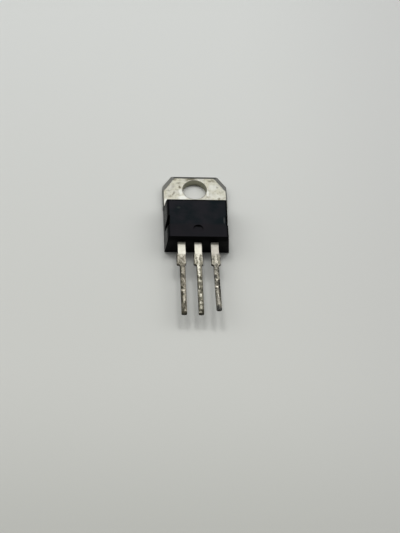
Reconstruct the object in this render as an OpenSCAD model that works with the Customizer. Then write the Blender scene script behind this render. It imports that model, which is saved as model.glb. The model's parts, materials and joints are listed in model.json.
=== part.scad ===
// Three-lead linear voltage regulator in a tab-mounted moulded package, in millimetres.
// The part lies on the back of its metal tab. The origin is the centre of the mounting hole on that
// back face. +Y runs to the tab's free edge, the leads run along -Y, and +Z leaves the moulded front.

/* [Tab] */
// Width of the bare tab
tab_w = 10.15; // [9.95:0.05:10.6]
// Thickness of the tab and of the header under the moulding
tab_t = 1.27; // [1.1:0.01:1.4]
// Diameter of the mounting hole
hole_d = 3.8; // [3.4:0.05:4]
// Distance from the hole's centre to the tab's free edge
hole_to_edge = 2.66; // [2.5:0.01:3]
// Distance from the hole's centre to the foot of the moulding
hole_to_case = 3.4; // [3.1:0.05:3.8]
// Width cut off each corner of the tab
corner_w = 1.36; // [1:0.02:1.7]
// Length cut off each corner of the tab
corner_l = 1.99; // [1.4:0.01:2.2]
// Width of the header inside the moulding
header_w = 8; // [7.4:0.1:8.4]
// Length of the header inside the moulding
header_l = 6.15; // [5.9:0.05:6.3]

/* [Moulded case] */
// Length from the foot on the tab to the face that the leads leave
case_l = 8.33; // [8.2:0.01:9.2]
// Step from each edge of the tab in to the foot of the side wall
case_step = 0.075; // [0:0.005:0.2]
// Height over the back face
case_h = 4.43; // [4.2:0.01:4.8]
// Draft of the wall that faces the hole, below the lead plane
far_draft = 0.26; // [0.1:0.01:0.4]
// Setback of the bevel above it, from the lead plane to the top face
far_bevel = 0.86; // [0.4:0.01:1.1]
// Draft of each side wall over the whole height
side_draft = 0.41; // [0.2:0.01:0.5]
// Draft of the lead face above the lead plane
lead_face_draft = 0.03; // [0.02:0.01:0.3]
// Draft of the lead face below the lead plane
lead_face_undercut = 0.29; // [0.1:0.01:0.5]
// Radius of the upright corners
case_corner_r = 0.25; // [0.15:0.01:0.4]
// Radius of the other edges
case_edge_r = 0.12; // [0.06:0.01:0.15]
// Length of the notch in each side wall, at the top face
notch_l = 1.9; // [1.6:0.05:2.2]
// Depth of the notch at the top face
notch_depth = 0.3; // [0.2:0.01:0.4]
// Distance from the lead face to the middle of the notch, at the top face
notch_to_lead_face = 3.2; // [2.8:0.05:3.6]
// How far the notch's lead-side end leans in, from the top face down to its floor
notch_slant = 1; // [0.6:0.05:1.1]
// Diameter of the round ejector mark in the top face
dimple_d = 1.55; // [1:0.05:1.8]
// Depth of the ejector mark
dimple_depth = 0.25; // [0.1:0.01:0.3]
// Distance from the lead face to the middle of the ejector mark
dimple_to_lead_face = 1.55; // [1.2:0.05:2.4]

/* [Leads] */
// Distance between neighbouring leads
lead_pitch = 2.54; // [2.5:0.01:2.6]
// Thickness of the lead sheet
lead_t = 0.5; // [0.4:0.01:0.6]
// Height of the leads' underside over the back face
lead_z = 2.6; // [2.4:0.01:2.7]
// Length of the leads outside the case
lead_l = 13.17; // [12.4:0.01:14.6]
// Width of the shoulder next to the case
shoulder_w = 1.23; // [1.15:0.01:1.36]
// Width over the stubs that the trimmed tie bar leaves
stub_w = 1.42; // [1.37:0.01:1.5]
// Distance from the case to the stubs
stub_start = 2.27; // [1.8:0.01:2.6]
// Length of the stubs
stub_l = 1.86; // [1.6:0.01:2.4]
// Length of the short taper from the stubs to the blade
taper_l = 0.12; // [0.08:0.01:0.4]
// Width of the blade that goes through the board
blade_w = 0.8; // [0.6:0.01:0.9]
// Radius to which the output lead's blade is bent upwards
curl_r = 40; // [24:1:60]
// Length of the slanted cut at the output lead's tip
clip_l = 0.9; // [0.5:0.05:1.1]
// Length of the side leads inside the case
post_l = 1.9; // [1.7:0.05:2.2]
// Width of the bonding posts at the ends of the side leads
post_w = 2.2; // [1.9:0.05:2.4]
// Length of the bonding posts
post_pad_l = 1.2; // [1:0.05:1.3]
// Width of the neck that joins the centre lead to the header
neck_w = 1.9; // [1.5:0.05:2]

/* [Chip] */
// Width of the silicon die
die_w = 2.2; // [1.8:0.05:2.6]
// Length of the silicon die
die_l = 1.9; // [1.6:0.05:2.2]
// Thickness of the silicon die
die_t = 0.3; // [0.2:0.01:0.4]
// Distance from the hole's centre to the middle of the die
hole_to_die = 6.9; // [6.6:0.05:7.1]
// Thickness of the solder under the die
solder_t = 0.06; // [0.04:0.01:0.1]
// Rim of solder that shows round the die
solder_rim = 0.12; // [0.05:0.01:0.2]
// Diameter of the bond wires
wire_d = 0.25; // [0.2:0.01:0.3]
// Height of the bond wires' arch over its chord
wire_crown = 0.8; // [0.6:0.05:0.9]

/* [Hidden] */
$fn = 48;

// Steps in the arc of a rounded corner, and in the bend of a lead
corner_steps = 4;
curl_steps = 12;

// How far a cut runs past the solid that it cuts
overrun = 1;

// Width of the case at the back face
case_w = tab_w - 2 * case_step;

// Places along the part
case_y = -hole_to_case;
lead_face_y = case_y - case_l;
header_end_y = case_y - header_l;
tip_y = lead_face_y - lead_l;
stub_start_y = lead_face_y - stub_start;
stub_end_y = stub_start_y - stub_l;
blade_y = stub_end_y - taper_l;
post_y = lead_face_y + post_l;
post_neck_y = post_y - post_pad_l;
die_y = -hole_to_die;

// Heights
lead_mid_z = lead_z + lead_t / 2;
lead_top_z = lead_z + lead_t;
die_z = tab_t + solder_t;
die_top_z = die_z + die_t;

// Rolled upper edges of the tab: width on top and depth down the side
edge_roll_w = 0.15;
edge_roll_d = 0.12;
far_roll_w = 0.4;
left_corner_roll_w = 0.66;
left_corner_roll_d = 0.2;
right_corner_roll_w = 0.52;
right_corner_roll_d = 0.15;

// Rounding of the stamped outlines
tab_corner_r = 0.12;
header_corner_r = 0.4;
lead_corner_r = 0.12;
notch_floor_r = 0.15;

// Sideways set of each lead: of its shoulder, of its stubs and of its blade
shoulder_set = -0.02;
input_stub_set = -0.14;
input_blade_set = 0.03;
ground_stub_set = -0.06;
ground_blade_set = 0.03;
output_stub_set = 0.04;
output_blade_set = 0.08;

// Rounding of the blades' tips
tip_r = 0.1;
clipped_tip_r = 0.26;
// Thickness left at the output lead's clipped tip, as a share of the sheet
clipped_tip_share = 0.35;

// Joggle of the centre lead: where it starts and ends past the header, and how far its root runs back
joggle_start = 0.3;
joggle_end = 1.25;
joggle_r = 0.5;
neck_root = 0.6;

// Bond wires: size of their flattened feet, and places of the pads as shares of the pieces under them
wire_foot_l = 0.6;
wire_foot_w = 0.4;
wire_foot_h = 0.3;
die_pad_x_share = 0.3;
die_pad_y_share = 0.3;
post_pad_x_share = 0.1;
post_pad_y_share = 0.5;
header_pad_gap = 1.4;
header_pad_x_share = 0.15;
ground_crown_share = 0.75;

// Colours of the materials
plating = [0.80, 0.78, 0.72];
tin = [0.72, 0.71, 0.67];
epoxy = [0.10, 0.10, 0.11];
silicon = [0.32, 0.34, 0.40];
solder = [0.55, 0.55, 0.56];
aluminium = [0.82, 0.82, 0.84];

// Vectors and outlines

function unit(v) = v / norm(v);

function left_of(v) = [-v[1], v[0]];

// The arc that rounds the corner at b, between its neighbours a and c
function rounded_corner(a, b, c, r) =
    let (
        to_a = unit(a - b),
        to_c = unit(c - b),
        half = acos(to_a * to_c) / 2,
        centre = b + unit(to_a + to_c) * r / sin(half),
        first = b + to_a * r / tan(half) - centre,
        last = b + to_c * r / tan(half) - centre,
        start = atan2(first[1], first[0]),
        turn = atan2(first[0] * last[1] - first[1] * last[0], first * last)
    )
    r == 0 ? [b] : [
        for (i = [0 : corner_steps])
            let (angle = start + turn * i / corner_steps)
            centre + r * [cos(angle), sin(angle)]
    ];

// A closed outline with each corner rounded to the radius in its third number
function rounded_outline(corners) =
    let (n = len(corners), points = [for (c = corners) [c[0], c[1]]])
    [
        for (i = [0 : n - 1])
            each rounded_corner(points[(i + n - 1) % n], points[i], points[(i + 1) % n], corners[i][2])
    ];

// An open line with its inner corners rounded to one radius
function rounded_line(points, r) =
    let (last = len(points) - 1)
    [
        points[0],
        for (i = [1 : last - 1])
            each rounded_corner(points[i - 1], points[i], points[i + 1], r),
        points[last]
    ];

// The offset, per unit of distance, that keeps a strip's sides parallel to its centre line at point i
function mitre(line, i) =
    let (
        n = len(line),
        before = left_of(unit(i == 0 ? line[1] - line[0] : line[i] - line[i - 1])),
        after = left_of(unit(i == n - 1 ? line[i] - line[i - 1] : line[i + 1] - line[i])),
        middle = unit(before + after)
    )
    middle / (middle * before);

// The outline of a strip of one thickness along a centre line
function strip(line, thickness) =
    let (n = len(line))
    concat(
        [for (i = [0 : n - 1]) line[i] + mitre(line, i) * thickness / 2],
        [for (i = [n - 1 : -1 : 0]) line[i] - mitre(line, i) * thickness / 2]
    );

// Corners down both sides of a flat lead. A station is its middle x, its width, its y and its rounding.
function lead_outline(stations) =
    let (n = len(stations))
    rounded_outline(concat(
        [for (s = stations) [s[0] - s[1] / 2, s[2], s[3]]],
        [for (i = [n - 1 : -1 : 0]) let (s = stations[i]) [s[0] + s[1] / 2, s[2], s[3]]]
    ));

// Stations of a lead outside the case, from its shoulder to its tip
function outer_stations(x, stub_set, blade_set, end_y, end_r) = [
    [x + shoulder_set, shoulder_w, stub_start_y, 0],
    [x + stub_set, stub_w, stub_start_y, 0],
    [x + stub_set, stub_w, stub_end_y, lead_corner_r],
    [x + blade_set, blade_w, blade_y, lead_corner_r],
    [x + blade_set, blade_w, end_y, end_r]
];

// Stations of a side lead's bonding post, inside the case
function post_stations(x) = [
    [x, post_w, post_y, lead_corner_r],
    [x, post_w, post_neck_y, lead_corner_r],
    [x + shoulder_set, shoulder_w, post_neck_y, 0]
];

// A flat outline in X and Y, cut through the whole height of the part
module plan_cut(outline) {
    translate([0, 0, -overrun])
        linear_extrude(case_h + lead_l + overrun)
            polygon(outline);
}

// A side view in Y and Z, drawn out across the width of the part
module side_view(outline) {
    translate([-tab_w, 0, 0])
        rotate([90, 0, 90])
            linear_extrude(2 * tab_w)
                polygon(outline);
}

// A front view in X and Z, drawn out along the case
module front_view(outline) {
    translate([0, overrun, 0])
        rotate([90, 0, 0])
            linear_extrude(case_l + hole_to_case + 2 * overrun)
                polygon(outline);
}

// Header, tab and centre lead

tab_outline = rounded_outline([
    [-tab_w / 2 + corner_w, hole_to_edge, tab_corner_r],
    [-tab_w / 2, hole_to_edge - corner_l, tab_corner_r],
    [-tab_w / 2, case_y, 0],
    [-header_w / 2, case_y, 0],
    [-header_w / 2, header_end_y, header_corner_r],
    [header_w / 2, header_end_y, header_corner_r],
    [header_w / 2, case_y, 0],
    [tab_w / 2, case_y, 0],
    [tab_w / 2, hole_to_edge - corner_l, tab_corner_r],
    [tab_w / 2 - corner_w, hole_to_edge, tab_corner_r]
]);

// A wedge that rolls off the upper edge from a to b, with the tab on the left of that line
module edge_roll(a, b, roll_w, roll_d) {
    run = b - a;
    translate([a[0], a[1], tab_t])
        rotate([0, 0, atan2(run[1], run[0])])
            translate([-overrun, 0, 0])
                rotate([90, 0, 90])
                    linear_extrude(norm(run) + 2 * overrun)
                        polygon([
                            [roll_w, 0],
                            [-overrun, overrun],
                            [-overrun, -roll_d],
                            [0, -roll_d]
                        ]);
}

module tab_plate() {
    far_left = [-tab_w / 2 + corner_w, hole_to_edge];
    far_right = [tab_w / 2 - corner_w, hole_to_edge];
    left = [-tab_w / 2, hole_to_edge - corner_l];
    right = [tab_w / 2, hole_to_edge - corner_l];
    difference() {
        linear_extrude(tab_t)
            polygon(tab_outline);
        translate([0, 0, -overrun])
            cylinder(d = hole_d, h = tab_t + 2 * overrun);
        edge_roll(far_right, far_left, far_roll_w, edge_roll_d);
        edge_roll(far_left, left, left_corner_roll_w, left_corner_roll_d);
        edge_roll(left, [-tab_w / 2, case_y], edge_roll_w, edge_roll_d);
        edge_roll([tab_w / 2, case_y], right, edge_roll_w, edge_roll_d);
        edge_roll(right, far_right, right_corner_roll_w, right_corner_roll_d);
    }
}

// The centre lead leaves the header's upper face and joggles up to the lead plane
module centre_lead() {
    header_mid_z = tab_t - lead_t / 2;
    line = rounded_line([
        [header_end_y + neck_root, header_mid_z],
        [header_end_y - joggle_start, header_mid_z],
        [header_end_y - joggle_end, lead_mid_z],
        [tip_y, lead_mid_z]
    ], joggle_r);
    neck_end_y = header_end_y - joggle_end;
    root_y = header_end_y + neck_root;
    intersection() {
        side_view(strip(line, lead_t));
        plan_cut(lead_outline(concat([
            [0, neck_w, root_y, 0],
            [0, neck_w, neck_end_y, 0],
            [shoulder_set, shoulder_w, neck_end_y - lead_t, 0]
        ], outer_stations(0, ground_stub_set, ground_blade_set, tip_y, tip_r))));
    }
}

module header_tab() {
    color(plating)
        union() {
            tab_plate();
            centre_lead();
        }
}

// Side leads

module input_lead() {
    line = [
        [post_y, lead_mid_z],
        [tip_y, lead_mid_z]
    ];
    color(tin)
        intersection() {
            side_view(strip(line, lead_t));
            plan_cut(lead_outline(concat(
                post_stations(-lead_pitch),
                outer_stations(-lead_pitch, input_stub_set, input_blade_set, tip_y, tip_r)
            )));
        }
}

// The output lead's blade curls up from the end of its shoulder, and its tip is clipped to a wedge
module output_lead() {
    blade_l = blade_y - tip_y;
    curl = blade_l / curl_r * 180 / PI;
    bend = [
        for (i = [1 : curl_steps])
            let (angle = curl * i / curl_steps)
            [blade_y - curl_r * sin(angle), lead_mid_z + curl_r * (1 - cos(angle))]
    ];
    line = concat([[post_y, lead_mid_z], [blade_y, lead_mid_z]], bend);
    tip = bend[curl_steps - 1];
    color(tin)
        difference() {
            intersection() {
                side_view(strip(line, lead_t));
                plan_cut(lead_outline(concat(
                    post_stations(lead_pitch),
                    outer_stations(lead_pitch, output_stub_set, output_blade_set, tip[0], clipped_tip_r)
                )));
            }
            tip_clip(tip, curl);
        }
}

// The wedge that slants the upper face down to the tip
module tip_clip(tip, curl) {
    left_t = lead_t * clipped_tip_share;
    translate([0, tip[0], tip[1]])
        rotate([-curl, 0, 0])
            side_view([
                [clip_l, lead_t / 2],
                [-overrun, lead_t / 2 + overrun],
                [-overrun, left_t - lead_t / 2],
                [0, left_t - lead_t / 2]
            ]);
}

// Chip and bond wires

module silicon_die() {
    color(silicon)
        translate([-die_w / 2, die_y - die_l / 2, die_z])
            cube([die_w, die_l, die_t]);
}

module die_solder() {
    solder_w = die_w + 2 * solder_rim;
    solder_l = die_l + 2 * solder_rim;
    color(solder)
        translate([-solder_w / 2, die_y - solder_l / 2, tab_t])
            cube([solder_w, solder_l, solder_t]);
}

// A wire arch from the pad at a to the pad at b, with a flattened foot on each
module bond_wire(a, b, crown) {
    run = norm([b[0] - a[0], b[1] - a[1]]);
    rise = b[2] - a[2];
    chord = norm([run, rise]);
    tilt = atan2(rise, run);
    r = (chord * chord / 4 + crown * crown) / (2 * crown);
    half_sweep = asin(chord / 2 / r);
    drop = r - crown;
    centre = [run / 2 + drop * sin(tilt), wire_foot_h / 2 + rise / 2 - drop * cos(tilt)];
    color(aluminium)
        translate(a)
            rotate([0, 0, atan2(b[1] - a[1], b[0] - a[0])])
                union() {
                    rotate([90, 0, 0])
                        translate(centre)
                            rotate([0, 0, 90 + tilt - half_sweep])
                                rotate_extrude(angle = 2 * half_sweep)
                                    translate([r, 0])
                                        circle(d = wire_d);
                    wire_foot([0, 0, 0]);
                    wire_foot([run, 0, rise]);
                }
}

module wire_foot(place) {
    translate(place + [-wire_foot_l / 2, -wire_foot_w / 2, 0])
        cube([wire_foot_l, wire_foot_w, wire_foot_h]);
}

// Places of the pads on the die and on the posts, for the side that the sign gives
function die_pad(side) = [side * die_pad_x_share * die_w, die_y - die_pad_y_share * die_l, die_top_z];

function post_pad(side) = [
    side * (lead_pitch - post_pad_x_share * post_w),
    post_y - post_pad_y_share * post_pad_l,
    lead_top_z
];

module input_wire() {
    bond_wire(die_pad(-1), post_pad(-1), wire_crown);
}

module output_wire() {
    bond_wire(die_pad(1), post_pad(1), wire_crown);
}

module ground_wire() {
    pad_x = header_pad_x_share * die_w;
    bond_wire(
        [pad_x, die_y + die_pad_y_share * die_l, die_top_z],
        [pad_x, die_y + die_l / 2 + header_pad_gap, tab_t],
        wire_crown * ground_crown_share
    );
}

// Moulded case

case_side = rounded_outline([
    [case_y, 0, 0],
    [case_y, tab_t, 0],
    [case_y - far_draft, lead_mid_z, 0],
    [case_y - far_draft - far_bevel, case_h, case_edge_r],
    [lead_face_y + lead_face_draft, case_h, case_edge_r],
    [lead_face_y, lead_mid_z, 0],
    [lead_face_y + lead_face_undercut, 0, case_edge_r]
]);

case_front = rounded_outline([
    [-case_w / 2, 0, 0],
    [case_w / 2, 0, 0],
    [case_w / 2 - side_draft, case_h, case_edge_r],
    [side_draft - case_w / 2, case_h, case_edge_r]
]);

case_plan = rounded_outline([
    [case_w / 2, lead_face_y, case_corner_r],
    [case_w / 2, case_y, 0],
    [-case_w / 2, case_y, 0],
    [-case_w / 2, lead_face_y, case_corner_r]
]);

module case_blank() {
    intersection() {
        side_view(case_side);
        front_view(case_front);
        plan_cut(case_plan);
    }
}

// The notch in the right wall, open to the side and the top, with its floor level with the tab
module side_notch() {
    far_y = lead_face_y + notch_to_lead_face + notch_l / 2;
    near_y = far_y - notch_l;
    lean = notch_slant / (case_h - tab_t);
    outline = rounded_outline([
        [far_y, case_h + overrun, 0],
        [far_y, tab_t, notch_floor_r],
        [near_y + notch_slant, tab_t, notch_floor_r],
        [near_y - lean * overrun, case_h + overrun, 0]
    ]);
    translate([case_w / 2 - side_draft - notch_depth, 0, 0])
        rotate([90, 0, 90])
            linear_extrude(notch_depth + side_draft + overrun)
                polygon(outline);
}

module moulded_case() {
    dimple_y = lead_face_y + dimple_to_lead_face;
    color(epoxy)
        difference() {
            case_blank();
            translate([0, dimple_y, case_h - dimple_depth])
                cylinder(d = dimple_d, h = dimple_depth + overrun);
            side_notch();
            mirror([1, 0, 0])
                side_notch();
            header_tab();
            input_lead();
            output_lead();
            silicon_die();
            die_solder();
            input_wire();
            output_wire();
            ground_wire();
        }
}

header_tab();
input_lead();
output_lead();
moulded_case();
silicon_die();
die_solder();
input_wire();
output_wire();
ground_wire();
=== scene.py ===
"""Looks of a tab-mounted voltage regulator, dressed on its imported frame.

Objects are in metres in the frame's own axes. Named sizes and places are in millimetres unless a comment
says otherwise, and MM turns them into metres. The metal pieces are finely meshed copies of their nodes,
with the relief of old solder on the leads.
"""

import json
import math
from collections import namedtuple

import bmesh
import bpy
import numpy as np
from mathutils import Matrix, Vector, noise


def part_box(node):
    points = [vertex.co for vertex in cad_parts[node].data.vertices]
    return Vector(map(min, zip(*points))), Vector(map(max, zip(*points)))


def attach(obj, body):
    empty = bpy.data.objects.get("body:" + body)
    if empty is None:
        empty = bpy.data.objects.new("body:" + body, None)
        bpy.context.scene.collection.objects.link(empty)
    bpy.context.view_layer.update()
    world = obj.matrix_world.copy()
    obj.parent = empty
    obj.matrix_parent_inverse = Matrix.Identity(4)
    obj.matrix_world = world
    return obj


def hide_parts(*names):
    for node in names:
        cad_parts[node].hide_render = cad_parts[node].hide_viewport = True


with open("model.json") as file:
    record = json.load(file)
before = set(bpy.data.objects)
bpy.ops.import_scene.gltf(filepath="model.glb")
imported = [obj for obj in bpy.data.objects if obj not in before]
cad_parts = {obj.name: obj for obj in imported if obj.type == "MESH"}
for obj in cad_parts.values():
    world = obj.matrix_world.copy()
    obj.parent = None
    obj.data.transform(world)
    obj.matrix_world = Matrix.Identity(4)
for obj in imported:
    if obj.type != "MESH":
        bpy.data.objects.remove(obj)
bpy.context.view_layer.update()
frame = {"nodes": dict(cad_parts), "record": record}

nodes = frame["nodes"]
mounts = {mount["name"]: mount for mount in frame["record"]["mounts"]}
MM = 0.001

# Places and sizes from the frame
LEAD_FACE_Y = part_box("moulded_case")[0].y / MM
CASE_FOOT_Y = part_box("moulded_case")[1].y / MM
CASE_TOP_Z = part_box("moulded_case")[1].z / MM
TAB_HALF_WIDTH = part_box("header_tab")[1].x / MM
TAB_END_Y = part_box("header_tab")[1].y / MM
HOLE_RADIUS = mounts["mounting_hole"]["dims"]["r_mm"]

# Sizes that repeat the part's own: the lead pitch, and the width and length cut off the tab's corners
LEAD_PITCH = 2.54
CORNER_WIDTH, CORNER_LENGTH = 1.36, 1.99


# Meshes

def link(piece):
    bpy.context.scene.collection.objects.link(piece)
    return piece


def clean_mesh(node, name):
    """A welded copy of a node's mesh, with its flat faces joined up."""
    weld, flat_angle = 0.0005, math.radians(0.2)
    draft = bmesh.new()
    draft.from_mesh(nodes[node].data)
    bmesh.ops.remove_doubles(draft, verts=draft.verts, dist=weld * MM)
    bmesh.ops.dissolve_limit(draft, angle_limit=flat_angle, verts=draft.verts, edges=draft.edges)
    draft.verts.index_update()
    corners = [vert.co.copy() for vert in draft.verts]
    faces = [[vert.index for vert in face.verts] for face in draft.faces]
    draft.free()
    mesh = bpy.data.meshes.new(name)
    mesh.from_pydata(corners, [], faces)
    return mesh


def take_place(piece, node):
    """The piece stands for a node and moves with the part."""
    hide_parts(node)
    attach(piece, "root")


def fine_copy(node, name, voxel):
    """An evenly meshed copy of a node, with its sharp edges slightly rounded."""
    piece = link(bpy.data.objects.new(name, clean_mesh(node, name)))
    remesh = piece.modifiers.new("even", "REMESH")
    remesh.mode = "VOXEL"
    remesh.voxel_size = voxel * MM
    relax = piece.modifiers.new("relax", "SMOOTH")
    relax.factor = 0.5
    relax.iterations = 3
    graph = bpy.context.evaluated_depsgraph_get()
    fine = bpy.data.meshes.new_from_object(piece.evaluated_get(graph))
    piece.modifiers.clear()
    piece.data = fine
    fine.name = name
    fine.shade_smooth()
    take_place(piece, node)
    return piece


def rows(items, name):
    """A vector of each item in a mesh's list, one to a row."""
    flat = np.empty(len(items) * 3, np.float32)
    items.foreach_get(name, flat)
    return flat.reshape(-1, 3).astype(float)


def vertex_places(mesh):
    return rows(mesh.vertices, "co") / MM


def vertex_normals(mesh):
    return rows(mesh.vertex_normals, "vector")


def raise_surface(piece, node, height):
    """Moves the surface along its normals, without leaving the node's box."""
    low, high = (np.array(corner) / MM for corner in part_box(node))
    places = vertex_places(piece.data) + vertex_normals(piece.data) * height[:, None]
    moved = np.clip(places, low, high) * MM
    piece.data.vertices.foreach_set("co", moved.astype(np.float32).ravel())
    piece.data.update()


def keep_field(mesh, name, values):
    """Keeps one number from 0 to 1 for each vertex, for the materials to read."""
    field = mesh.attributes.new(name, "FLOAT", "POINT")
    field.data.foreach_set("value", np.clip(values, 0, 1).astype(np.float32))


# How far each seed moves the noise
SEED_STEP = (3.7, 1.9, 5.3)


def speckle(places, size, octaves, seed):
    """Fractal noise from about -1 to 1, with features of the given size."""
    shift = Vector([seed * step for step in SEED_STEP])
    return np.array([noise.fractal(Vector(place) / size + shift, 1.0, 2.0, octaves) for place in places])


def smooth_step(low, high, values):
    share = np.clip((values - low) / (high - low), 0, 1)
    return share * share * (3 - 2 * share)


# Soft edges of the marks on the leads and on the tab, from where they start to where the mark is full, in
# shares of the mark's radius
LEAD_MARK_EDGE = (1.35, 0.65)
TAB_MARK_EDGE = (1.3, 0.4)


def oval(x, y, half_x, half_y, edge):
    """How far each point lies inside an oval round the origin."""
    return smooth_step(*edge, np.hypot(x / half_x, y / half_y))


# Old solder and oxide on the leads, and the output lead's painted highlight and shade. A mark is its
# distance from the case, its offset to the right of the lead's middle, its half length, its half width and
# its strength.

INPUT_LIGHT = [
    (2.5, -0.1, 0.45, 0.3, 1.0),
    (3.0, -0.58, 0.35, 0.09, 0.65),
    (3.3, -0.25, 0.14, 0.2, 0.5),
    (3.2, 0.42, 0.9, 0.14, 0.5),
    (3.4, -0.62, 0.5, 0.12, 0.4),
    (3.6, -0.2, 0.1, 0.35, 0.4),
    (3.75, 0.12, 0.28, 0.08, 0.6),
    (5.1, 0.08, 0.14, 0.12, 0.5),
    (5.2, 0.02, 0.7, 0.16, 0.3),
    (7.0, 0.1, 0.15, 0.11, 0.85),
    (7.25, 0.2, 0.28, 0.08, 0.5),
    (9.0, 0.08, 0.17, 0.16, 0.85),
    (9.35, 0.12, 0.22, 0.08, 0.45),
    (10.5, 0.08, 0.75, 0.1, 0.55),
    (10.75, 0.1, 0.18, 0.1, 0.7),
    (12.6, 0.2, 0.18, 0.1, 0.5),
]
INPUT_DARK = [
    (2.9, -0.78, 0.9, 0.12, 0.75),
    (3.6, 0.1, 0.12, 0.09, 0.45),
    (3.7, -0.4, 0.25, 0.25, 0.3),
    (4.5, 0.05, 0.14, 0.16, 0.65),
    (4.65, 0.25, 0.13, 0.11, 0.65),
    (5.6, -0.32, 1.25, 0.12, 1.0),
    (6.35, 0.0, 0.38, 0.45, 0.5),
    (7.6, -0.22, 0.5, 0.22, 0.5),
    (8.05, 0.05, 0.15, 0.11, 0.65),
    (8.5, -0.24, 0.25, 0.2, 1.0),
    (9.6, -0.22, 0.45, 0.19, 1.0),
    (9.75, -0.1, 0.13, 0.26, 0.75),
    (10.7, -0.29, 0.8, 0.15, 1.0),
    (11.2, 0.24, 0.27, 0.09, 1.0),
    (11.9, 0.0, 0.55, 0.6, 0.5),
    (12.1, 0.12, 0.15, 0.13, 0.65),
    (12.5, -0.22, 0.35, 0.22, 0.85),
    (13.0, 0.0, 0.25, 0.6, 0.95),
]
GROUND_LIGHT = [
    (2.5, -0.1, 0.4, 0.32, 1.0),
    (3.0, -0.13, 0.5, 0.15, 0.9),
    (3.2, -0.5, 0.75, 0.13, 0.5),
    (3.3, 0.5, 0.75, 0.13, 0.45),
    (3.75, 0.0, 0.42, 0.15, 1.0),
    (4.35, -0.18, 0.24, 0.19, 1.0),
    (4.8, -0.1, 0.32, 0.2, 0.85),
    (5.2, -0.15, 0.28, 0.17, 0.85),
    (5.6, -0.06, 0.28, 0.15, 1.0),
    (5.95, -0.15, 0.25, 0.13, 0.75),
    (6.15, -0.03, 0.32, 0.11, 0.95),
    (7.15, 0.0, 0.22, 0.19, 0.65),
    (7.3, 0.12, 0.18, 0.09, 0.5),
    (8.35, -0.1, 0.22, 0.09, 0.7),
    (9.0, -0.2, 0.28, 0.16, 0.35),
    (9.7, 0.06, 0.14, 0.16, 0.75),
    (9.9, 0.08, 0.38, 0.17, 0.35),
    (10.05, 0.0, 0.15, 0.12, 0.85),
    (11.2, -0.02, 0.22, 0.1, 0.55),
    (11.25, 0.1, 0.16, 0.1, 0.45),
    (12.0, 0.05, 0.33, 0.15, 0.4),
    (12.9, -0.08, 0.15, 0.15, 0.3),
]
GROUND_DARK = [
    (3.0, 0.17, 0.45, 0.12, 0.4),
    (6.45, -0.33, 0.22, 0.11, 0.85),
    (6.8, 0.15, 0.32, 0.14, 0.9),
    (7.8, 0.0, 0.32, 0.5, 0.45),
    (8.45, -0.33, 0.27, 0.15, 0.85),
    (8.55, 0.12, 0.14, 0.17, 0.85),
    (8.75, -0.1, 0.12, 0.26, 0.85),
    (8.95, 0.25, 0.28, 0.14, 1.0),
    (9.3, 0.08, 0.17, 0.11, 0.85),
    (9.9, 0.35, 0.45, 0.1, 0.55),
    (10.45, -0.25, 0.22, 0.17, 0.75),
    (10.8, 0.0, 0.14, 0.5, 0.6),
    (11.2, -0.3, 0.33, 0.14, 0.6),
    (11.55, 0.0, 0.12, 0.45, 0.55),
    (12.0, -0.32, 0.45, 0.12, 0.55),
    (12.0, 0.35, 0.45, 0.12, 0.45),
    (12.62, 0.08, 0.22, 0.45, 1.0),
    (12.9, 0.22, 0.33, 0.11, 0.95),
    (13.12, 0.0, 0.14, 0.6, 1.0),
]
OUTPUT_LIGHT = [
    (2.6, -0.03, 0.6, 0.14, 0.6),
    (3.2, -0.45, 0.75, 0.07, 0.2),
    (3.2, 0.08, 0.75, 0.13, 0.45),
    (3.7, 0.12, 0.4, 0.2, 0.4),
    (3.95, 0.15, 0.2, 0.17, 0.2),
    (4.7, -0.05, 0.42, 0.2, 0.2),
    (4.85, 0.08, 0.22, 0.09, 0.35),
    (5.75, -0.05, 0.28, 0.2, 0.35),
    (7.1, 0.04, 0.17, 0.14, 0.55),
    (8.45, -0.04, 0.22, 0.15, 0.8),
    (9.0, 0.05, 0.22, 0.11, 0.45),
]
# A painted highlight along the middle of the output lead's blade
OUTPUT_PAINTED_HIGHLIGHT = [
    (9.9, 0.05, 0.9, 0.1, 0.7),
    (11.1, 0.06, 0.9, 0.15, 0.8),
    (11.75, 0.1, 0.3, 0.2, 0.8),
]
# Its long marks along the right edge are partly oxide and partly painted shade beside the painted highlight
OUTPUT_DARK = [
    (2.15, -0.45, 0.2, 0.22, 0.6),
    (3.0, -0.4, 1.0, 0.33, 0.3),
    (3.0, 0.45, 1.0, 0.28, 0.35),
    (3.0, 0.57, 0.95, 0.17, 0.4),
    (3.2, -0.3, 0.85, 0.07, 0.4),
    (3.2, -0.64, 0.85, 0.08, 0.75),
    (4.9, 0.0, 0.9, 0.5, 0.48),
    (5.25, 0.0, 0.13, 0.35, 0.55),
    (5.6, 0.38, 1.05, 0.11, 0.8),
    (6.5, -0.15, 0.32, 0.23, 0.8),
    (7.2, -0.2, 0.12, 0.11, 0.85),
    (7.6, 0.35, 0.65, 0.14, 0.85),
    (7.8, 0.0, 0.32, 0.4, 0.5),
    (8.5, 0.34, 0.38, 0.14, 0.9),
    (8.8, -0.2, 0.17, 0.16, 0.55),
    (9.3, 0.37, 0.45, 0.12, 0.85),
    (10.3, 0.39, 1.3, 0.11, 0.5),
    (10.4, -0.2, 1.05, 0.13, 0.2),
    (12.45, 0.0, 0.25, 0.6, 0.85),
    (12.85, 0.3, 0.35, 0.25, 0.9),
    (12.75, 0.0, 0.38, 0.6, 1.0),
    (13.05, 0.0, 0.3, 0.6, 1.0),
]


# Where old solder starts to cover a lead and covers it fully, by the distance from the case
SOLDER_START, SOLDER_FULL = 2.1, 2.6
# How far noise shifts the solder's edge and the marks
EDGE_SHIFT, ALONG_SHIFT, ACROSS_SHIFT = 0.2, 0.1, 0.05
# Sizes of the noise in the solder
RIPPLE_SIZE, WAVE_SIZE, GRAIN_SIZE, CRUMB_SIZE, LUMP_SIZE = 0.3, 0.35, 0.17, 0.16, 0.3
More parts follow.
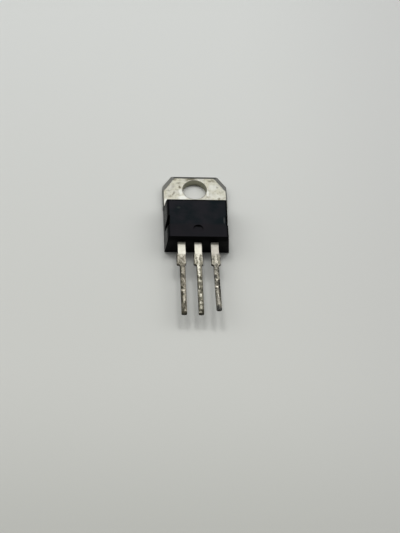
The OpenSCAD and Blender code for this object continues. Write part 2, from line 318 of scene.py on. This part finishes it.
# Heights of the solder's lumps, flecks and grain
LUMP_HEIGHT, FLECK_HEIGHT, GRAIN_HEIGHT = 0.016, 0.025, 0.008
# How much of the light marks the crumbs leave: the middle, the swing and the most
CRUMB_MIDDLE, CRUMB_SWING, CRUMB_MOST = 0.78, 1.2, 1.15
# Where the grain turns light and dark, and how strongly
LIGHT_GRAIN_START, LIGHT_GRAIN = 0.12, 0.8
DARK_GRAIN_START, DARK_GRAIN = -0.05, 1.05
# How far dark stains cover what is light
STAIN_COVER = 0.8


def lead_marks(along, across, marks):
    """How strongly the strongest of the marks covers each point."""
    field = np.zeros(len(along))
    for place, offset, half_length, half_width, strength in marks:
        cover = oval(along - place, across - offset, half_length, half_width, LEAD_MARK_EDGE)
        field = np.maximum(field, strength * cover)
    return field


def dress_lead(piece, node):
    """Relief of the old solder on a node's lead, and the fields that its colours follow."""
    lead = LEADS[node]
    places = vertex_places(piece.data)
    ripple = speckle(places, RIPPLE_SIZE, 3, lead.seed)
    wave = speckle(places, WAVE_SIZE, 2, lead.seed + 1)
    grain = speckle(places, GRAIN_SIZE, 3, lead.seed + 2)
    crumbs = CRUMB_MIDDLE + CRUMB_SWING * speckle(places, CRUMB_SIZE, 2, lead.seed + 4)
    lumps = speckle(places, LUMP_SIZE, 2, lead.seed + 3)

    from_case = LEAD_FACE_Y - places[:, 1]
    used = smooth_step(SOLDER_START, SOLDER_FULL, from_case + EDGE_SHIFT * ripple)
    along = from_case + ALONG_SHIFT * wave
    across = places[:, 0] - lead.middle_x + ACROSS_SHIFT * ripple
    stains = lead_marks(along, across, lead.dark)
    crumbled = lead_marks(along, across, lead.light) * np.clip(crumbs, 0, CRUMB_MOST)
    # On the output lead the light marks also hold its painted highlight
    flecks = np.maximum(crumbled, lead_marks(along, across, lead.streaks))
    light_grain = LIGHT_GRAIN * np.clip(grain - LIGHT_GRAIN_START, 0, 1)
    dark_grain = DARK_GRAIN * np.clip(DARK_GRAIN_START - grain, 0, 1)
    light = (flecks + light_grain) * (1 - STAIN_COVER * stains)
    dark = stains + dark_grain

    height = LUMP_HEIGHT * lumps + FLECK_HEIGHT * np.clip(light, 0, 1) + GRAIN_HEIGHT * grain
    raise_surface(piece, node, used * height)
    keep_field(piece.data, "used", used)
    keep_field(piece.data, "light", light * used)
    keep_field(piece.data, "dark", dark * used)


# Marks on the tab: x, y, half width, half length, turn in degrees and strength

TAB_STAINS = [
    (-0.5, 2.1, 0.95, 0.24, 0, 0.85),
    (-3.3, 2.05, 0.55, 0.3, 0, 0.5),
    (3.0, 1.8, 0.5, 0.24, -35, 0.5),
    (-1.14, 1.9, 0.4, 0.25, 30, 0.45),
    (-2.36, 0.46, 0.2, 0.24, 0, 0.8),
    (-2.5, 1.31, 0.35, 0.2, 0, 0.4),
    (-3.41, 0.58, 0.3, 0.28, 40, 0.3),
    (-4.06, -0.25, 0.25, 0.2, 0, 0.4),
    (-3.36, -0.85, 0.16, 0.5, -25, 0.6),
    (-3.95, -1.36, 0.35, 0.25, 0, 0.35),
    (2.52, 1.72, 0.35, 0.2, 0, 0.6),
    (3.59, 0.52, 0.18, 0.2, 0, 0.4),
    (3.8, -1.81, 0.18, 0.25, 0, 0.6),
    (1.99, -1.44, 0.16, 0.2, 0, 0.35),
]
TAB_BRIGHT = [
    (-1.9, -1.6, 0.9, 0.5, 0, 1.0),
    (-2.25, -0.5, 0.3, 0.7, 0, 0.8),
    (2.05, -0.7, 0.2, 0.7, 0, 0.9),
    (-4.6, -2.4, 0.3, 0.6, 0, 0.9),
    (3.4, -1.3, 1.2, 0.6, 0, 0.35),
    (2.9, 0.5, 0.7, 0.7, 0, 0.5),
]

# Noise that warps the marks on the tab: its strength, size and seeds
TAB_WARP, TAB_WARP_SIZE, TAB_WARP_SEEDS = 0.1, 0.4, (11, 12)
# How far the tab's marks fade out under the case
TAB_FADE = 0.5
# Width of the dull bands along the tab's cut corners, half the width of their soft edge, and the share of
# the warp that moves it
CUT_BAND, CUT_BAND_EDGE, CUT_BAND_WARP = 0.72, 0.1, 0.5
# The bands' faces: the least rise of the upper face's normals, the rise of the bevels' normals from where a
# band starts to where it is full, and likewise how squarely a bevel faces the corner
UPPER_RISE = 0.97
BEVEL_RISE = (0.1, 0.35)
CORNER_FACING = (0.86, 0.95)
# The least tilt that a bevel's direction is taken over, which keeps it finite on level faces
LEAST_TILT = 0.01


def tab_marks(x, y, marks):
    """How strongly the strongest of the marks covers each point."""
    field = np.zeros(len(x))
    for place_x, place_y, half_width, half_length, turn, strength in marks:
        cosine, sine = math.cos(math.radians(turn)), math.sin(math.radians(turn))
        off_x, off_y = x - place_x, y - place_y
        across, along = cosine * off_x + sine * off_y, cosine * off_y - sine * off_x
        cover = oval(across, along, half_width, half_length, TAB_MARK_EDGE)
        field = np.maximum(field, strength * cover)
    return field


def cut_bands(places, normals, warp):
    """Bands along the cut corners, on the tab's upper face and on the corners' own bevels."""
    diagonal = math.hypot(CORNER_WIDTH, CORNER_LENGTH)
    from_side = TAB_HALF_WIDTH - np.abs(places[:, 0])
    from_end = TAB_END_Y - places[:, 1]
    inset = (from_side * CORNER_LENGTH + from_end * CORNER_WIDTH - CORNER_WIDTH * CORNER_LENGTH) / diagonal
    band = smooth_step(CUT_BAND + CUT_BAND_EDGE, CUT_BAND - CUT_BAND_EDGE, inset + CUT_BAND_WARP * warp)

    x, y, rise = normals.T
    to_corner = (x * np.sign(places[:, 0]) * CORNER_LENGTH + y * CORNER_WIDTH) / diagonal
    tilt = np.maximum(np.hypot(x, y), LEAST_TILT)
    bevel = smooth_step(*CORNER_FACING, to_corner / tilt) * smooth_step(*BEVEL_RISE, rise)
    return band * np.where(rise > UPPER_RISE, 1.0, bevel)


def dress_tab(piece):
    """Fields of the tab's dull bands, of its stains and of its brighter plating."""
    places = vertex_places(piece.data)
    warp_x, warp_y = (TAB_WARP * speckle(places, TAB_WARP_SIZE, 3, seed) for seed in TAB_WARP_SEEDS)
    keep_field(piece.data, "tab_cut", cut_bands(places, vertex_normals(piece.data), warp_x))
    on_tab = smooth_step(CASE_FOOT_Y - TAB_FADE, CASE_FOOT_Y, places[:, 1])
    warped_x, warped_y = places[:, 0] + warp_x, places[:, 1] + warp_y
    for name, marks in (("tab_stain", TAB_STAINS), ("tab_bright", TAB_BRIGHT)):
        keep_field(piece.data, name, tab_marks(warped_x, warped_y, marks) * on_tab)


# Materials

# Soft edge of a patch of colour, from where it starts to where the patch is full, in shares of its radius
PATCH_EDGE = (1.3, 0.5)


class ShaderTree:
    """Calls that add nodes to a shader's tree."""

    def __init__(self, tree):
        self.tree = tree

    def add(self, kind, settings=None, **sockets):
        node = self.tree.nodes.new(kind)
        for key, value in (settings or {}).items():
            setattr(node, key, value)
        for key, value in sockets.items():
            self.put(node.inputs[key.replace("_", " ")], value)
        return node

    def put(self, socket, value):
        """Links a socket to another one, or sets it to a constant."""
        if isinstance(value, bpy.types.NodeSocket):
            self.tree.links.new(value, socket)
        else:
            socket.default_value = value

    def math(self, operation, a, b=0.0):
        node = self.add("ShaderNodeMath", {"operation": operation})
        for socket, value in zip(node.inputs, (a, b)):
            self.put(socket, value)
        return node.outputs["Value"]


class Surface(ShaderTree):
    """A procedural material, with its constants on the shader and its textures added call by call."""

    def __init__(self, name, **constants):
        self.material = bpy.data.materials.new(name)
        self.material.use_nodes = True
        super().__init__(self.material.node_tree)
        self.shader = self.tree.nodes["Principled BSDF"]
        for socket, value in constants.items():
            self.shader.inputs[socket.replace("_", " ")].default_value = value
        metres = self.add("ShaderNodeTexCoord").outputs["Object"]
        self.point = self.add("ShaderNodeMapping", Vector=metres, Scale=(1 / MM,) * 3).outputs["Vector"]

    def axis(self, name):
        return self.add("ShaderNodeSeparateXYZ", Vector=self.point).outputs[name]

    def from_case(self):
        """Distance from the face that the leads leave, along them."""
        return self.math("SUBTRACT", LEAD_FACE_Y, self.axis("Y"))

    def up(self):
        """How far the surface faces upwards."""
        normal = self.add("ShaderNodeNewGeometry").outputs["Normal"]
        return self.add("ShaderNodeSeparateXYZ", Vector=normal).outputs["Z"]

    def field(self, name):
        return self.add("ShaderNodeAttribute", {"attribute_name": name}).outputs["Fac"]

    def noise(self, per_mm, detail, roughness, shift=(0, 0, 0)):
        point = self.add("ShaderNodeMapping", Vector=self.point, Location=shift).outputs["Vector"]
        return self.add("ShaderNodeTexNoise", Vector=point, Scale=per_mm, Detail=detail,
                        Roughness=roughness).outputs["Fac"]

    def span(self, value, low, high, to_low=0.0, to_high=1.0):
        """A smooth step between two numbers, while a value goes from low to high."""
        node = self.add("ShaderNodeMapRange", {"interpolation_type": "SMOOTHSTEP"}, Value=value,
                        From_Min=low, From_Max=high, To_Min=to_low, To_Max=to_high)
        return node.outputs["Result"]

    def patch(self, x, y, half_width, half_length):
        """How far a point lies inside an oval on the plan of the part."""
        scale = (1 / half_width, 1 / half_length, 0)
        shift = (-x / half_width, -y / half_length, 0)
        shares = self.add("ShaderNodeMapping", Vector=self.point, Scale=scale, Location=shift)
        reach = self.add("ShaderNodeVectorMath", {"operation": "LENGTH"}, Vector=shares.outputs["Vector"])
        return self.span(reach.outputs["Value"], *PATCH_EDGE)

    def mix(self, amount, a, b, data_type="RGBA", kind="Color"):
        """A colour between a and b."""
        node = self.add("ShaderNodeMix", {"data_type": data_type})
        inputs = {socket.identifier: socket for socket in node.inputs}
        outputs = {socket.identifier: socket for socket in node.outputs}
        self.put(inputs["Factor_Float"], amount)
        self.put(inputs["A_" + kind], a)
        self.put(inputs["B_" + kind], b)
        return outputs["Result_" + kind]

    def blend(self, amount, a, b):
        """A number between a and b."""
        return self.mix(amount, a, b, "FLOAT", "Float")

    def finish(self, colour, roughness, height, depth):
        self.put(self.shader.inputs["Base Color"], colour)
        self.put(self.shader.inputs["Roughness"], roughness)
        bump = self.add("ShaderNodeBump", Height=height, Distance=depth * MM)
        self.put(self.shader.inputs["Normal"], bump.outputs["Normal"])
        return self.material


# Gamma of the view, which deepens the shadows as the photo's tone curve does
VIEW_GAMMA = 0.85


def rgb(r, g, b):
    """A colour given as the sRGB tones from 0 to 255 that the view shows for it in full light."""
    tones = [(shown / 255) ** VIEW_GAMMA for shown in (r, g, b)]
    linear = [tone / 12.92 if tone < 0.0405 else ((tone + 0.055) / 1.055) ** 2.4 for tone in tones]
    return (*linear, 1.0)


Tones = namedtuple("Tones", "tin tin_shade old old_shade fleck oxide")
Lead = namedtuple("Lead", "middle_x seed light dark streaks tones")

# The leads by their nodes, with the colours of the clean tin, the old solder, its flecks and the oxide
LEADS = {
    "input_lead": Lead(-LEAD_PITCH, 21, INPUT_LIGHT, INPUT_DARK, [], Tones(
        rgb(212, 210, 198), rgb(203, 200, 187), rgb(130, 125, 113), rgb(98, 93, 82), rgb(198, 194, 179),
        rgb(42, 40, 32))),
    # The output lead's fleck colour also paints its highlight
    "output_lead": Lead(LEAD_PITCH, 31, OUTPUT_LIGHT, OUTPUT_DARK, OUTPUT_PAINTED_HIGHLIGHT, Tones(
        rgb(188, 184, 174), rgb(178, 173, 162), rgb(168, 164, 149), rgb(134, 130, 117), rgb(240, 235, 221),
        rgb(34, 34, 33))),
    "header_tab": Lead(0.0, 41, GROUND_LIGHT, GROUND_DARK, [], Tones(
        rgb(212, 210, 198), rgb(203, 200, 186), rgb(124, 121, 107), rgb(95, 92, 79), rgb(226, 223, 208),
        rgb(42, 40, 32))),
}

# How far upwards a surface faces where a tone starts and is full: on the leads' sides, the tab's edges, the
# hole's wall and the case's upper face
LEAD_SIDE, TAB_EDGE, HOLE_WALL, CASE_UPPER = (0.95, 0.5), (0.985, 0.965), (0.6, 0.3), (0.8, 0.98)

# Roughness between the least and the most of the noise, and of the leads' dull roots
TIN_ROUGHNESS, OLD_ROUGHNESS, PLATING_ROUGHNESS = (0.34, 0.44), (0.36, 0.52), (0.38, 0.55)
SMOOTH_EPOXY, ROUGH_EPOXY = (0.24, 0.34), (0.6, 0.7)
ROOT_ROUGHNESS = 0.85

# Lengths of the lead by the case where shade is painted on it, and of its dull root, full and with its soft
# end
PAINTED_SHADE_LENGTH = 1.4
ROOT_LENGTH, ROOT_END = 0.42, 0.62


def lead_root(surface, most):
    """The short dull stretch where a lead comes out of the case."""
    return surface.span(surface.from_case(), ROOT_END, ROOT_LENGTH, 0.0, most)


def lead_colours(surface, tones):
    """Bright tin by the case with painted shade right at the case, then old solder with light flecks and
    dark oxide (on the output lead also a painted highlight and painted shade), and its fine noise.
    """
    painted_shade, root, sides = rgb(150, 149, 145), rgb(112, 111, 105), rgb(62, 60, 52)
    fine = surface.noise(9.0, detail=5.0, roughness=0.6)
    broad = surface.noise(1.6, detail=3.0, roughness=0.5)
    clean = surface.mix(surface.span(broad, 0.35, 0.7), tones.tin, tones.tin_shade)
    # Painted shade on the tin right by the case
    clean = surface.mix(surface.span(surface.from_case(), PAINTED_SHADE_LENGTH, 0.0, 0.0, 0.25), clean, painted_shade)
    clean = surface.mix(lead_root(surface, 0.3), clean, root)
    worn = surface.mix(surface.span(fine, 0.38, 0.62), tones.old, tones.old_shade)
    colour = surface.mix(surface.field("used"), clean, worn)
    colour = surface.mix(surface.field("dark"), colour, tones.oxide)
    colour = surface.mix(surface.field("light"), colour, tones.fleck)
    return surface.mix(surface.span(surface.up(), *LEAD_SIDE), colour, sides), fine


def lead_material(node):
    """Tin that is smooth by the case, dull at the root and rough where it is old."""
    surface = Surface(node.replace("lead", "tin"), Metallic=1.0)
    colour, fine = lead_colours(surface, LEADS[node].tones)
    smooth = surface.span(fine, 0.2, 0.8, *TIN_ROUGHNESS)
    rough = surface.span(fine, 0.2, 0.8, *OLD_ROUGHNESS)
    roughness = surface.blend(surface.field("used"), smooth, rough)
    roughness = surface.blend(lead_root(surface, 1.0), roughness, ROOT_ROUGHNESS)
    return surface.finish(colour, roughness, fine, depth=0.02)


# How far the hole's tone reaches, in shares of the hole's radius
HOLE_REACH = 1.1


def plating_colours(surface, fine):
    """Ivory plating with brown stains, dull bands at the cut corners, dark edges and a yellowish hole."""
    cloudy, specks = rgb(168, 165, 146), rgb(152, 147, 128)
    bright, stain = rgb(221, 222, 215), rgb(96, 90, 72)
    cut_face, cut_bevel = rgb(118, 119, 114), rgb(178, 178, 172)
    edge, hole = rgb(126, 127, 122), rgb(184, 180, 150)
    broad = surface.noise(0.7, detail=4.0, roughness=0.6)
    cloud = surface.noise(2.2, detail=5.0, roughness=0.65, shift=(4, 0, 0))
    plating = surface.mix(surface.span(broad, 0.3, 0.7), rgb(200, 198, 181), rgb(196, 195, 186))
    plating = surface.mix(surface.span(cloud, 0.46, 0.68, 0.0, 0.8), plating, cloudy)
    plating = surface.mix(surface.span(fine, 0.52, 0.72, 0.0, 0.45), plating, specks)
    plating = surface.mix(surface.field("tab_bright"), plating, bright)
    plating = surface.mix(surface.field("tab_stain"), plating, stain)
    tilted = surface.span(surface.up(), *TAB_EDGE)
    plating = surface.mix(tilted, plating, edge)
    plating = surface.mix(surface.field("tab_cut"), plating, surface.mix(tilted, cut_face, cut_bevel))
    by_hole = surface.patch(0, 0, HOLE_RADIUS * HOLE_REACH, HOLE_RADIUS * HOLE_REACH)
    in_hole = surface.math("MULTIPLY", by_hole, surface.span(surface.up(), *HOLE_WALL))
    return surface.mix(in_hole, plating, hole)


# Length inside the case over which the lead's colours turn into the plating's
MEETING_LENGTH = 1.0


def header_material():
    """Plating on the tab, and the centre lead's old solder. They meet just inside the case."""
    surface = Surface("plated_header", Metallic=1.0)
    lead_colour, fine = lead_colours(surface, LEADS["header_tab"].tones)
    inside = surface.span(surface.from_case(), 0.0, -MEETING_LENGTH)
    colour = surface.mix(inside, lead_colour, plating_colours(surface, fine))
    return surface.finish(colour, surface.span(fine, 0.2, 0.8, *PLATING_ROUGHNESS), fine, depth=0.015)


# How far the greyer zone by the leads reaches into the case's upper face, full and with its soft end
GREY_LENGTH, GREY_END = 2.2, 2.8
# Width of the painted shade along the rims of that face
RIM_WIDTH = 0.3
# Depths below it where the walls are still rough and where they are smooth
ROUGH_DEPTH, SMOOTH_DEPTH = 0.8, 1.3
# Ovals on it: x, y, half width and half length
# A painted glint on the rounded rim of the right notch
PAINTED_GLINT_SPOT = (4.05, -8.5, 0.14, 0.65)
DUSTY_SPOT = (-2.9, -6.1, 0.3, 0.22)
# Painted shadow inside the ejector mark
MARK_SHADOW_SPOT = (0.1, LEAD_FACE_Y + 2.3, 0.5, 0.28)
# Depths in the ejector mark between which its painted shadow sets in
MARK_SHALLOW, MARK_DEEP = 0.1, 0.2


def epoxy_material(top_low, top_high):
    """Matte black moulding compound, fine blasted grain, and an upper face lighter from a little dust and
    painted light.
    """
    walls, painted_rim_shade, grey, painted_mark_shadow = rgb(7, 8, 8), rgb(1, 2, 2), rgb(31, 29, 32), rgb(3, 4, 4)
    surface = Surface("black_epoxy", Specular_IOR_Level=0.07)
    grain = surface.noise(14.0, detail=3.0, roughness=0.6)
    broad = surface.noise(0.35, detail=4.0, roughness=0.55)
    below_top = surface.math("SUBTRACT", CASE_TOP_Z, surface.axis("Z"))
    top = surface.mix(surface.span(broad, 0.34, 0.66), rgb(18, 25, 28), rgb(32, 32, 36))
    top = surface.mix(surface.span(surface.from_case(), -GREY_LENGTH, -GREY_END, 0.7, 0.0), top, grey)
    # Painted glint by the right notch
    top = surface.mix(surface.patch(*PAINTED_GLINT_SPOT), top, rgb(56, 57, 57))
    top = surface.mix(surface.patch(*DUSTY_SPOT), top, rgb(40, 44, 43))
    # Painted shade along the left, right and far rims of the upper face
    for axis, edge, inwards in (("X", top_low.x, 1), ("X", top_high.x, -1), ("Y", top_high.y, -1)):
        rim_shade = surface.span(surface.axis(axis), edge / MM, edge / MM + inwards * RIM_WIDTH, 1.0, 0.0)
        top = surface.mix(rim_shade, top, painted_rim_shade)
    # Painted shadow in the ejector mark
    sunk = surface.span(below_top, MARK_SHALLOW, MARK_DEEP)
    top = surface.mix(surface.math("MULTIPLY", surface.patch(*MARK_SHADOW_SPOT), sunk), top, painted_mark_shadow)
    # The upper face is lighter than the walls, from a little dust and from painted light
    colour = surface.mix(surface.span(surface.up(), *CASE_UPPER), walls, top)
    smooth = surface.span(grain, 0.3, 0.7, *SMOOTH_EPOXY)
    rough = surface.span(grain, 0.3, 0.7, *ROUGH_EPOXY)
    roughness = surface.blend(surface.span(below_top, SMOOTH_DEPTH, ROUGH_DEPTH), smooth, rough)
    return surface.finish(colour, roughness, grain, depth=0.008)


def inner_material(name, light, dark, per_mm, metallic, roughness):
    """Die, solder and wires, which the case hides."""
    surface = Surface(name, Metallic=metallic)
    cloud = surface.noise(per_mm, detail=5.0, roughness=0.6)
    colour = surface.mix(surface.span(cloud, 0.35, 0.65), light, dark)
    return surface.finish(colour, surface.span(cloud, 0.3, 0.7, *roughness), cloud, depth=0.005)


# Places between which painted shade changes the floor's tone: near the viewer, at the back and to the right
FLOOR_NEAR, FLOOR_BACK, FLOOR_RIGHT = (-75, -30), (-40, 50), (5, 45)


def floor_material():
    """Pale matte table top, with painted shade that makes it a little darker to the right and towards the
    viewer.
    """
    surface = Surface("pale_floor", Roughness=0.8, Specular_IOR_Level=0.0)
    cloud = surface.noise(0.02, detail=3.0, roughness=0.5)
    right, away = surface.axis("X"), surface.axis("Y")
    colour = surface.mix(surface.span(away, *FLOOR_NEAR), rgb(183, 184, 178), rgb(205, 206, 201))
    colour = surface.mix(surface.span(away, *FLOOR_BACK), colour, rgb(213, 215, 212))
    colour = surface.mix(surface.span(right, *FLOOR_RIGHT, 0.0, 0.4), colour, rgb(187, 187, 186))
    colour = surface.mix(surface.span(cloud, 0.3, 0.7, 0.0, 0.03), colour, rgb(187, 187, 183))
    surface.put(surface.shader.inputs["Base Color"], colour)
    return surface.material


# Pieces

# Spacing of the leads' and the header's fine meshes
LEAD_VOXEL, HEADER_VOXEL = 0.035, 0.06
# Edges of the case that turn by more than this stay sharp
SHARP_ANGLE = math.radians(32)
# Corners this close to the case's highest point lie on its upper face
TOP_SLACK = 0.01


def side_lead(node):
    piece = fine_copy(node, "tinned_" + node, LEAD_VOXEL)
    dress_lead(piece, node)
    piece.data.materials.append(lead_material(node))


def header():
    piece = fine_copy("header_tab", "plated_header", HEADER_VOXEL)
    dress_tab(piece)
    dress_lead(piece, "header_tab")
    piece.data.materials.append(header_material())


def case():
    piece = link(bpy.data.objects.new("epoxy_case", clean_mesh("moulded_case", "epoxy_case")))
    piece.data.shade_smooth()
    level = piece.modifiers.new("level", "WEIGHTED_NORMAL")
    level.keep_sharp = True
    piece.data.set_sharp_from_angle(angle=SHARP_ANGLE)
    on_top = [vert.co for vert in piece.data.vertices if vert.co.z > (CASE_TOP_Z - TOP_SLACK) * MM]
    top_low, top_high = (Vector([pick(axis) for axis in zip(*on_top)]) for pick in (min, max))
    piece.data.materials.append(epoxy_material(top_low, top_high))
    take_place(piece, "moulded_case")


def inner_pieces():
    """The nodes inside the case keep their own meshes."""
    silicon = inner_material("silicon", rgb(92, 96, 110), rgb(70, 74, 90), per_mm=3.0, metallic=0.6,
                             roughness=(0.1, 0.25))
    solder = inner_material("solder", rgb(150, 150, 152), rgb(112, 112, 116), per_mm=8.0, metallic=1.0,
                            roughness=(0.35, 0.6))
    wire = inner_material("bond_wire", rgb(214, 214, 218), rgb(180, 180, 186), per_mm=12.0, metallic=1.0,
                          roughness=(0.2, 0.4))
    materials = {
        "silicon_die": silicon,
        "die_solder": solder,
        "input_wire": wire,
        "output_wire": wire,
        "ground_wire": wire,
    }
    for node, material in materials.items():
        nodes[node].data.materials.clear()
        nodes[node].data.materials.append(material)


# Floor, light and camera

# The floor's half width in metres, and how far it lies below the part
FLOOR_HALF_WIDTH, FLOOR_DROP = 2.0, 0.005


def floor():
    grid = bmesh.new()
    bmesh.ops.create_grid(grid, x_segments=8, y_segments=8, size=FLOOR_HALF_WIDTH)
    mesh = bpy.data.meshes.new("floor")
    grid.to_mesh(mesh)
    grid.free()
    mesh.materials.append(floor_material())
    plane = link(bpy.data.objects.new("floor", mesh))
    plane.location.z = -FLOOR_DROP * MM


# Places in metres and watts of two round lamps high above the part, which draw the leads' shadows, and
# their diameter in metres
LAMPS = (((-0.103, 0.12, 0.5), 0.385), ((0.074, 0.12, 0.5), 0.4))
LAMP_DIAMETER = 0.11


def lamp(place, power):
    data = bpy.data.lights.new("lamp", "AREA")
    data.shape = "DISK"
    data.size = LAMP_DIAMETER
    data.energy = power
    light = link(bpy.data.objects.new("lamp", data))
    light.location = place
    light.rotation_euler = Vector(place).to_track_quat("Z", "Y").to_euler()


# The room: plain dim walls, brighter behind the part, under a long band of light that runs across above it
# and a soft glow to each side. Places and widths of the band and the glows are slopes, sideways or back
# over up.
ROOM_LIGHT, ROOM_BACK_LIGHT = 0.036, 0.054
BAND_LIGHT, BAND_BACK, BAND_HALF_DEPTH, BAND_HALF_LENGTH = 1.6, 0.26, 0.28, 2.5
SIDE_LIGHT, SIDE_OUT, SIDE_HALF = 0.77, 0.85, 0.45
# The least rise that slopes are taken over, which keeps them finite at the horizon
LEAST_RISE = 0.02


def room():
    world = bpy.data.worlds.new("room")
    world.use_nodes = True
    bpy.context.scene.world = world
    sky = ShaderTree(world.node_tree)
    direction = sky.add("ShaderNodeTexCoord").outputs["Generated"]
    x, y, z = sky.add("ShaderNodeSeparateXYZ", Vector=direction).outputs
    rise = sky.math("MAXIMUM", z, LEAST_RISE)
    out, back = (sky.math("DIVIDE", axis, rise) for axis in (x, y))

    def squared_off(slope, place, half):
        """Square of a slope's distance from a place, in half widths."""
        off = sky.math("DIVIDE", sky.math("SUBTRACT", slope, place), half)
        return sky.math("MULTIPLY", off, off)

    def glow(strength, side, side_place, side_half, back_place, back_half):
        """A soft oval of light in the sky."""
        side_off = squared_off(side, side_place, side_half)
        back_off = squared_off(back, back_place, back_half)
        fall = sky.math("MULTIPLY", sky.math("ADD", side_off, back_off), -0.5)
        return sky.math("MULTIPLY", sky.math("EXPONENT", fall), strength)

    band = glow(BAND_LIGHT, out, 0.0, BAND_HALF_LENGTH, BAND_BACK, BAND_HALF_DEPTH)
    sides = glow(SIDE_LIGHT, sky.math("ABSOLUTE", out), SIDE_OUT, SIDE_HALF, 0.0, SIDE_HALF)
    behind = sky.math("MULTIPLY", sky.math("MAXIMUM", y, 0.0), ROOM_BACK_LIGHT)
    walls = sky.math("ADD", behind, ROOM_LIGHT)
    background = sky.tree.nodes["Background"]
    sky.put(background.inputs["Strength"], sky.math("ADD", sky.math("ADD", band, sides), walls))
    sky.put(background.inputs["Color"], (1.0, 1.0, 1.0, 1.0))


# The camera of the photo, with its distance in metres, and its focal length and image height in pixels
AZIMUTH, ELEVATION, ROLL = (math.radians(angle) for angle in (-7.82, 53.8, 7.0))
CAMERA_DISTANCE = 0.230
CAMERA_TARGET = Vector((0.42, -14.09, 0.0)) * MM
FOCAL_PIXELS, IMAGE_HEIGHT = 1498, 533


def camera():
    data = bpy.data.cameras.new("camera")
    data.sensor_width = 36.0
    data.lens = FOCAL_PIXELS / IMAGE_HEIGHT * data.sensor_width
    data.clip_start, data.clip_end = 0.01, 10.0
    eye = link(bpy.data.objects.new("camera", data))
    level = math.cos(ELEVATION)
    back = Vector((math.sin(AZIMUTH) * level, -math.cos(AZIMUTH) * level, math.sin(ELEVATION)))
    right = Vector((math.cos(AZIMUTH), math.sin(AZIMUTH), 0.0))
    up = back.cross(right)
    turned_right = right * math.cos(ROLL) + up * math.sin(ROLL)
    turned_up = up * math.cos(ROLL) - right * math.sin(ROLL)
    turn = Matrix((turned_right, turned_up, back)).transposed().to_4x4()
    eye.matrix_world = Matrix.Translation(CAMERA_TARGET + back * CAMERA_DISTANCE) @ turn
    bpy.context.scene.camera = eye


side_lead("input_lead")
side_lead("output_lead")
header()
case()
inner_pieces()
floor()
for place, power in LAMPS:
    lamp(place, power)
room()
camera()
bpy.context.scene.view_settings.view_transform = "Standard"
bpy.context.scene.view_settings.gamma = VIEW_GAMMA
